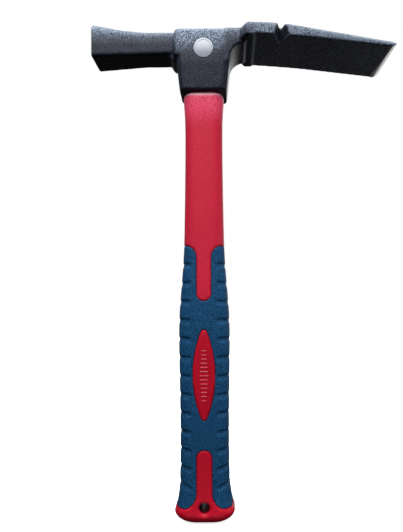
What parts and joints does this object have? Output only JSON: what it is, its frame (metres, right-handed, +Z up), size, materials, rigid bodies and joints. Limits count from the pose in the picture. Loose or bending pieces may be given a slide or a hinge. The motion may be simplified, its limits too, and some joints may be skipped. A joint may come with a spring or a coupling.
{
  "type": "brick hammer",
  "caption": "Mason's hammer with a square poll, a wide bent blade with a nail notch, and a moulded fibreglass handle with a windowed rubber grip and a hang hole.",
  "frame": {"origin": "centre of the hang hole in the butt, in the middle of the handle's depth", "axes": "+Z up the handle to the head, +X towards the blade, +Y away from the badge side, along the hang hole"},
  "size_m": [0.1822, 0.04, 0.3045],
  "materials": {
    "head_steel": "blasted forging with a satin dark blue-grey powder coat",
    "badge_metal": "brushed",
    "cap_plastic": "matte",
    "epoxy": "cast resin",
    "fibreglass": "pultruded rod",
    "red_plastic": "satin with a fine spark texture",
    "blue_rubber": "soft satin"
  },
  "bodies": {
    "root": {"hammer_head": "head_steel", "cheek_badge": "badge_metal", "eye_cap": "cap_plastic", "eye_epoxy": "epoxy", "fibreglass_core": "fibreglass", "handle_jacket": "red_plastic", "grip_sleeve": "blue_rubber"}
  },
  "joints": []
}
